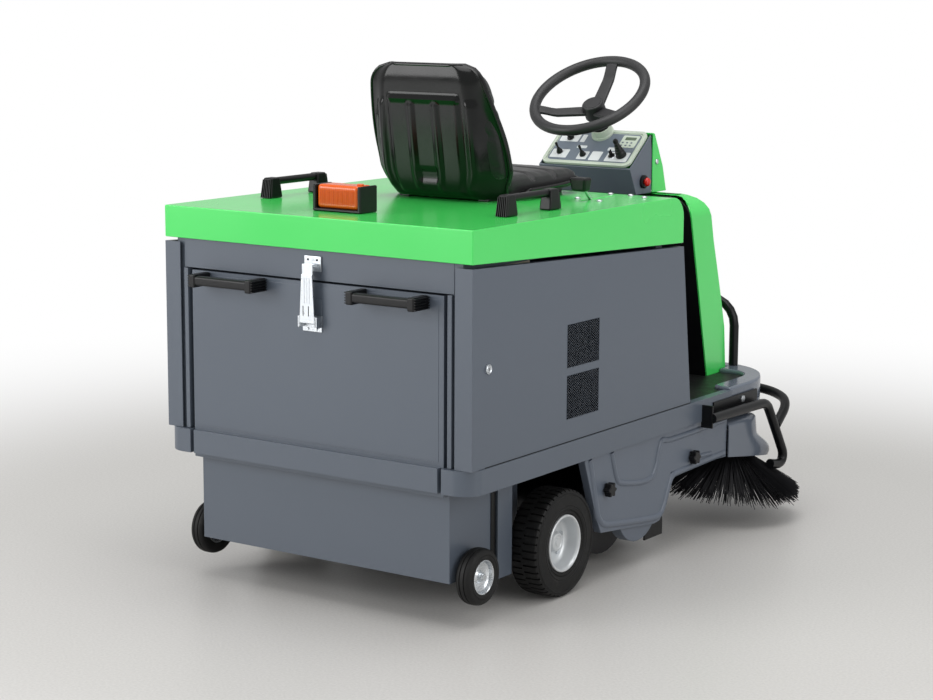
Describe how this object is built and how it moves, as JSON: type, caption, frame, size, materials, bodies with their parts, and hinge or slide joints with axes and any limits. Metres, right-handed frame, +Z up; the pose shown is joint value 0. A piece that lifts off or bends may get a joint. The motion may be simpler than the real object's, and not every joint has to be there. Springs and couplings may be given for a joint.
{
  "type": "ride-on sweeper",
  "caption": "Ride-on floor sweeper with a driver's seat, steering wheel, pull-out rear waste hopper, hinged side doors, main broom and front side brush.",
  "frame": {"origin": "on the floor, under the centre of the whole machine", "axes": "+X to the driver's right, +Y forward, towards the steering wheel, +Z up"},
  "size_m": [0.98, 1.5676, 1.2026],
  "materials": {
    "green_paint": "satin green powder coat",
    "grey_paint": "satin blue-grey powder coat",
    "grey_plastic": "moulded blue-grey plastic with a fine grain",
    "black_plastic": "moulded black plastic with a fine grain",
    "black_rubber": "matte black rubber",
    "tyre": "black solid tyre rubber",
    "black_steel": "satin black powder coat",
    "vinyl": "black upholstery vinyl over foam",
    "pale_plastic": "pale grey-green moulded plastic",
    "red_plastic": "glossy red plastic",
    "amber_lens": "translucent amber plastic",
    "zinc_steel": "bright zinc plate",
    "silver_rim": "silver paint",
    "bristle": "black nylon bristles",
    "filter_paper": "pleated filter paper"
  },
  "bodies": {
    "machine": {"chassis_frame": "grey_paint", "body_frame": "grey_paint", "hood": "green_paint", "foot_mat": "black_rubber", "nose_cover": "grey_plastic", "leg_shield": "green_paint", "shield_liner": "black_plastic", "cowl": "green_paint", "dash_body": "grey_plastic", "dash_panel": "pale_plastic", "front_hoop": "black_steel", "grab_handle_left": "black_plastic", "grab_handle_right": "black_plastic", "beacon_base": "black_plastic", "beacon_lens": "amber_lens", "bumper": "black_steel", "broom_housing": "black_steel", "broom_cover_right": "grey_plastic", "broom_cover_left": "grey_plastic", "rear_axle": "zinc_steel", "broom_flap": "black_rubber", "battery": "black_plastic", "filter_box": "filter_paper", "broom_motor": "black_steel", "seat_base": "black_steel"},
    "seat": {"seat_shell": "black_plastic", "seat_cushion": "vinyl", "backrest_cushion": "vinyl"},
    "steering_wheel": {"steering_wheel": "black_plastic"},
    "front_fork": {"front_fork": "black_steel"},
    "front_wheel": {"front_wheel": "black_rubber"},
    "rear_wheel_left": {"rear_tyre_left": "tyre", "rear_rim_left": "silver_rim"},
    "rear_wheel_right": {"rear_tyre_right": "tyre", "rear_rim_right": "silver_rim"},
    "hopper": {"hopper_bin": "grey_paint", "hopper_handle_left": "black_plastic", "hopper_handle_right": "black_plastic"},
    "hopper_wheel_left": {"hopper_wheel_left": "black_rubber"},
    "hopper_wheel_right": {"hopper_wheel_right": "black_rubber"},
    "latch_lever": {"latch_lever": "zinc_steel"},
    "door_right": {"door_right": "grey_paint"},
    "door_left": {"door_left": "grey_paint"},
    "door_lock_right": {"door_lock_right": "zinc_steel"},
    "door_lock_left": {"door_lock_left": "zinc_steel"},
    "main_broom": {"main_broom": "bristle"},
    "side_brush_arm": {"side_brush_arm": "black_steel", "side_brush_cover": "grey_plastic"},
    "side_brush": {"side_brush": "bristle"},
    "deck_lever": {"deck_lever": "zinc_steel"},
    "joystick": {"joystick": "black_plastic"},
    "emergency_button": {"emergency_button": "red_plastic"},
    "toggle_left": {"toggle_left": "black_plastic"},
    "toggle_right": {"toggle_right": "black_plastic"},
    "control_knob": {"control_knob": "black_plastic"},
    "key_switch": {"key_switch": "black_plastic"},
    "accelerator_pedal": {"accelerator_pedal": "black_rubber"},
    "brake_pedal": {"brake_pedal": "black_rubber"},
    "star_knob_front": {"star_knob_front": "black_plastic"},
    "star_knob_rear": {"star_knob_rear": "black_plastic"}
  },
  "joints": [
    {"name": "seat_slide", "type": "slide", "parent": "machine", "child": "seat", "axis": [0, 1, 0], "range_m": [-0.04, 0.06]},
    {"name": "steering", "type": "hinge", "parent": "machine", "child": "steering_wheel", "pos_m": [-0.05568, 0.42274, 1.097], "axis": [0, -0.5621, 0.8271], "range_deg": [-150, 150]},
    {"name": "fork_steer", "type": "hinge", "parent": "machine", "child": "front_fork", "pos_m": [-0.05568, 0.51824, 0.235], "axis": [0, 0, 1], "range_deg": [-60, 60]},
    {"name": "front_wheel_spin", "type": "hinge", "parent": "front_fork", "child": "front_wheel", "pos_m": [-0.05568, 0.49824, 0.1], "axis": [1, 0, 0], "continuous": true},
    {"name": "rear_wheel_left_spin", "type": "hinge", "parent": "machine", "child": "rear_wheel_left", "pos_m": [-0.43568, -0.33476, 0.125], "axis": [1, 0, 0], "continuous": true},
    {"name": "rear_wheel_right_spin", "type": "hinge", "parent": "machine", "child": "rear_wheel_right", "pos_m": [0.32432, -0.33476, 0.125], "axis": [1, 0, 0], "continuous": true},
    {"name": "hopper_slide", "type": "slide", "parent": "machine", "child": "hopper", "axis": [0, -1, 0], "range_m": [0, 0.45]},
    {"name": "hopper_wheel_left_spin", "type": "hinge", "parent": "hopper", "child": "hopper_wheel_left", "pos_m": [-0.43668, -0.63576, 0.11], "axis": [1, 0, 0], "continuous": true},
    {"name": "hopper_wheel_right_spin", "type": "hinge", "parent": "hopper", "child": "hopper_wheel_right", "pos_m": [0.32532, -0.63576, 0.11], "axis": [1, 0, 0], "continuous": true},
    {"name": "latch_swing", "type": "hinge", "parent": "hopper", "child": "latch_lever", "pos_m": [-0.05568, -0.73976, 0.65], "axis": [1, 0, 0], "range_deg": [0, 150]},
    {"name": "door_right_swing", "type": "hinge", "parent": "machine", "child": "door_right", "pos_m": [0.37282, 0.16824, 0.3656], "axis": [0, 0, 1], "range_deg": [0, 90]},
    {"name": "door_left_swing", "type": "hinge", "parent": "machine", "child": "door_left", "pos_m": [-0.48418, 0.16824, 0.3656], "axis": [0, 0, -1], "range_deg": [0, 90]},
    {"name": "door_lock_right_turn", "type": "hinge", "parent": "door_right", "child": "door_lock_right", "pos_m": [0.37412, -0.67276, 0.58], "axis": [1, 0, 0], "range_deg": [0, 90]},
    {"name": "door_lock_left_turn", "type": "hinge", "parent": "door_left", "child": "door_lock_left", "pos_m": [-0.48548, -0.67276, 0.58], "axis": [-1, 0, 0], "range_deg": [0, 90]},
    {"name": "main_broom_spin", "type": "hinge", "parent": "machine", "child": "main_broom", "pos_m": [-0.05568, 0.00624, 0.142], "axis": [1, 0, 0], "continuous": true},
    {"name": "side_brush_lift", "type": "hinge", "parent": "machine", "child": "side_brush_arm", "pos_m": [0.29432, 0.26824, 0.22], "axis": [1, 0, 0], "range_deg": [0, 2.5]},
    {"name": "side_brush_spin", "type": "hinge", "parent": "side_brush_arm", "child": "side_brush", "pos_m": [0.29432, 0.58324, 0.14], "axis": [0.0522, 0.0522, 0.9973], "continuous": true},
    {"name": "deck_lever_swing", "type": "hinge", "parent": "machine", "child": "deck_lever", "pos_m": [0.23232, -0.01676, 0.863], "axis": [-1, 0, 0], "range_deg": [0, 70]},
    {"name": "joystick_tilt", "type": "hinge", "parent": "machine", "child": "joystick", "pos_m": [0.03932, 0.42153, 0.95351], "axis": [1, 0, 0], "range_deg": [-15, 15]},
    {"name": "toggle_left_tilt", "type": "hinge", "parent": "machine", "child": "toggle_left", "pos_m": [-0.14868, 0.42509, 0.95058], "axis": [1, 0, 0], "range_deg": [-15, 15]},
    {"name": "toggle_right_tilt", "type": "hinge", "parent": "machine", "child": "toggle_right", "pos_m": [-0.07468, 0.42037, 0.94688], "axis": [1, 0, 0], "range_deg": [-15, 15]},
    {"name": "control_knob_turn", "type": "hinge", "parent": "machine", "child": "control_knob", "pos_m": [-0.14268, 0.47378, 0.97924], "axis": [0, -0.617, 0.7869], "range_deg": [-135, 135]},
    {"name": "key_switch_turn", "type": "hinge", "parent": "machine", "child": "key_switch", "pos_m": [0.01232, 0.42657, 0.94221], "axis": [0, -0.617, 0.7869], "range_deg": [-90, 90]},
    {"name": "emergency_button_press", "type": "slide", "parent": "machine", "child": "emergency_button", "axis": [-1, 0, 0], "range_m": [0, 0.0035]},
    {"name": "accelerator_pedal_press", "type": "hinge", "parent": "machine", "child": "accelerator_pedal", "pos_m": [0.09432, 0.45324, 0.37], "axis": [-1, 0, 0], "range_deg": [0, 12], "stiffness_Nm_per_rad": 0.6, "springref_deg": -11.46},
    {"name": "brake_pedal_press", "type": "hinge", "parent": "machine", "child": "brake_pedal", "pos_m": [-0.20568, 0.45324, 0.37], "axis": [-1, 0, 0], "range_deg": [0, 12], "stiffness_Nm_per_rad": 0.6, "springref_deg": -11.46},
    {"name": "star_knob_front_turn", "type": "hinge", "parent": "machine", "child": "star_knob_front", "pos_m": [0.36462, 0.24464, 0.2245], "axis": [1, 0, 0], "continuous": true},
    {"name": "star_knob_rear_turn", "type": "hinge", "parent": "machine", "child": "star_knob_rear", "pos_m": [0.36462, -0.16316, 0.22], "axis": [1, 0, 0], "continuous": true}
  ],
  "couplings": [
    {"joint": "steering", "follows": "fork_steer", "ratio": 2.5}
  ]
}
